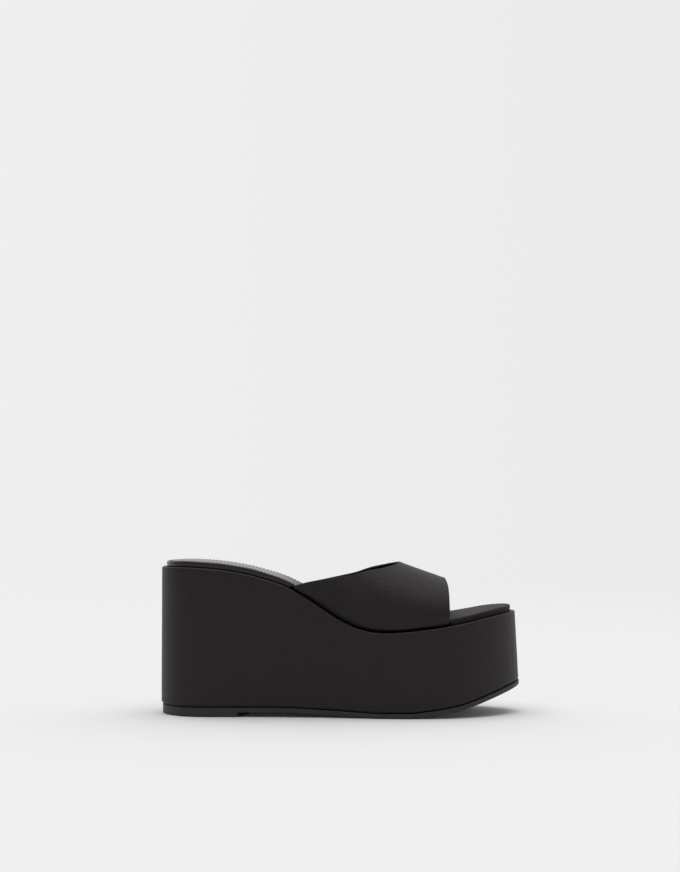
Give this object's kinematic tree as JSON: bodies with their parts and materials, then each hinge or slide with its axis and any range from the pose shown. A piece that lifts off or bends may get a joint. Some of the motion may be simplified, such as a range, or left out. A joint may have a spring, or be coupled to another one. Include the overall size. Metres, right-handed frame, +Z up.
{
  "type": "platform mule shoe",
  "caption": "Right platform mule: covered wedge with arched rubber outsole, padded insole and a closed vamp strap, open at toe and heel.",
  "frame": {"origin": "middle of the heel tread, on the floor", "axes": "+X along the shoe towards the toe, +Y towards the inner side of the foot, +Z up"},
  "size_m": [0.25, 0.0897, 0.1063],
  "materials": {
    "rubber": "matte moulded black rubber",
    "platform_cover": "smooth matte black nappa, fine grain",
    "insole_cover": "smooth matte black lining leather over padding",
    "upper_leather": "smooth soft black nappa, low sheen"
  },
  "bodies": {
    "root": {"outsole": "rubber", "platform": "platform_cover", "insole": "insole_cover", "upper": "upper_leather"}
  },
  "joints": []
}
